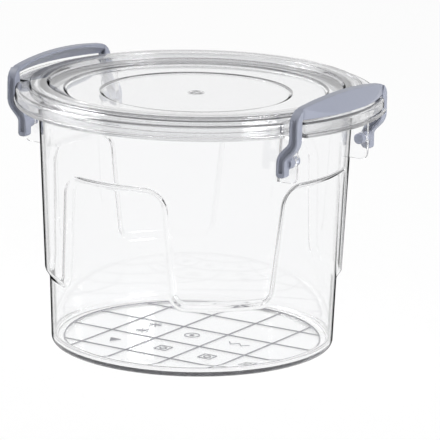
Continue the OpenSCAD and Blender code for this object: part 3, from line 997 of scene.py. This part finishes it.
def white_to_the_eye(tree, plain, emitter, share):
    """Mixes a share of plain white into what the camera, gloss and clear plastic see."""
    path = add_node(tree, "ShaderNodeLightPath").outputs
    seen = path["Is Camera Ray"]
    for ray in ("Is Glossy Ray", "Is Transmission Ray"):
        seen = maths(tree, "MAXIMUM", seen, path[ray])
    white = add_node(tree, emitter, {"Color": (1, 1, 1, 1), "Strength": 1.0})
    return mixed_shader(tree, maths(tree, "MULTIPLY", seen, share), plain, white)


FLOOR_HALF = 8.0
LAMPS = (  # name, place, size, share of the lamp power
    ("main_lamp", (2.3, -0.45, 1.0), 1.0, 1.0),
    ("side_lamp", (-1.6, -0.2, 1.6), 0.9, 0.4),
)
LAMPS_AIM = (0, 0, 0.1)
IMAGE_SIDE = 440.0  # pixels
FOCAL = 3615.7  # pixels
IMAGE_CENTRE = (194.19, 209.36)  # pixels from the top left corner


class TUB_OT_stage(bpy.types.Operator):
    """Set the pale floor, the soft light and the camera"""

    bl_idname = "tub.stage"
    bl_label = "Stage"

    def execute(self, context):
        look = context.scene.tub_stage
        self.floor(look)
        self.world(context, look)
        self.lamps(look)
        self.camera(context, look)
        context.scene.view_settings.view_transform = "Standard"
        context.scene.cycles.max_bounces = 32
        context.scene.cycles.glossy_bounces = 24
        context.scene.cycles.transmission_bounces = 24
        context.scene.cycles.transparent_max_bounces = 24
        return {"FINISHED"}

    def floor(self, look):
        half = FLOOR_HALF
        corners = [(-half, -half, 0), (half, -half, 0), (half, half, 0), (-half, half, 0)]
        mesh = bpy.data.meshes.new("floor")
        mesh.from_pydata(corners, [], [(0, 1, 2, 3)])
        material, tree, output = new_material("pale_floor")
        paint = add_node(tree, "ShaderNodeBsdfDiffuse", {"Color": (*look.floor_white, 1)})
        seen = white_to_the_eye(tree, paint, "ShaderNodeEmission", look.floor_glow)
        tree.links.new(seen.outputs["Shader"], output.inputs["Surface"])
        mesh.materials.append(material)
        floor = bpy.data.objects.new("floor", mesh)
        bpy.context.scene.collection.objects.link(floor)

    def world(self, context, look):
        world = bpy.data.worlds.new("soft_studio")
        context.scene.world = world
        world.use_nodes = True
        tree = world.node_tree
        tree.nodes.clear()
        output = tree.nodes.new("ShaderNodeOutputWorld")
        values = {"Color": (1, 1, 1, 1), "Strength": look.fill}
        plain = add_node(tree, "ShaderNodeBackground", values)
        seen = white_to_the_eye(tree, plain, "ShaderNodeBackground", 1.0)
        tree.links.new(seen.outputs["Shader"], output.inputs["Surface"])

    def lamps(self, look):
        for name, place, size, share in LAMPS:
            lamp = bpy.data.lights.new(name, "AREA")
            lamp.shape = "SQUARE"
            lamp.size = size
            lamp.energy = look.lamp * share
            holder = bpy.data.objects.new(name, lamp)
            holder.location = place
            aim = Vector(LAMPS_AIM) - Vector(place)
            holder.rotation_euler = aim.to_track_quat("-Z", "Y").to_euler()
            bpy.context.scene.collection.objects.link(holder)

    def camera(self, context, look):
        camera = bpy.data.cameras.new("camera")
        camera.sensor_width = 36.0
        centre_x, centre_y = IMAGE_CENTRE
        camera.lens = FOCAL / IMAGE_SIDE * camera.sensor_width
        camera.shift_x = (IMAGE_SIDE / 2 - centre_x) / IMAGE_SIDE
        camera.shift_y = (centre_y - IMAGE_SIDE / 2) / IMAGE_SIDE
        camera.clip_start = 0.05
        camera.clip_end = 50.0
        a, e = look.azimuth, look.elevation
        back = Vector((math.sin(a) * math.cos(e), -math.cos(a) * math.cos(e), math.sin(e)))
        right = Vector((math.cos(a), math.sin(a), 0.0))
        up = back.cross(right)
        turned_right = right * math.cos(look.roll) + up * math.sin(look.roll)
        turned_up = back.cross(turned_right)
        holder = bpy.data.objects.new("camera", camera)
        place = Vector((0, 0, look.target_z)) + back * look.distance
        matrix = Matrix((turned_right, turned_up, back)).transposed().to_4x4()
        matrix.translation = place
        holder.matrix_world = matrix
        context.scene.collection.objects.link(holder)
        context.scene.camera = holder


class TUB_PT_panel(bpy.types.Panel):
    """Lists the pieces of the tub"""

    bl_idname = "TUB_PT_panel"
    bl_label = "Clip-lid tub"
    bl_space_type = "VIEW_3D"
    bl_region_type = "UI"
    bl_category = "Tub"

    def draw(self, context):
        for operator in OPERATORS:
            self.layout.operator(operator.bl_idname)
        for name in GROUPS:
            box = self.layout.box()
            group = getattr(context.scene, name)
            for key in group.__annotations__:
                box.prop(group, key)


OPERATORS = (TUB_OT_body, TUB_OT_floor_grid, TUB_OT_lid, TUB_OT_clips, TUB_OT_stage)


def register():
    for group in GROUPS.values():
        bpy.utils.register_class(group)
    for name, group in GROUPS.items():
        setattr(bpy.types.Scene, name, bpy.props.PointerProperty(type=group))
    for operator in OPERATORS:
        bpy.utils.register_class(operator)
    bpy.utils.register_class(TUB_PT_panel)


def unregister():
    bpy.utils.unregister_class(TUB_PT_panel)
    for operator in reversed(OPERATORS):
        bpy.utils.unregister_class(operator)
    for name in GROUPS:
        delattr(bpy.types.Scene, name)
    for group in reversed(list(GROUPS.values())):
        bpy.utils.unregister_class(group)


def main():
    register()
    bpy.ops.tub.body()
    bpy.ops.tub.floor_grid()
    bpy.ops.tub.lid()
    bpy.ops.tub.clips()
    bpy.ops.tub.stage()
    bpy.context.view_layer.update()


if __name__ == "__main__":
    main()
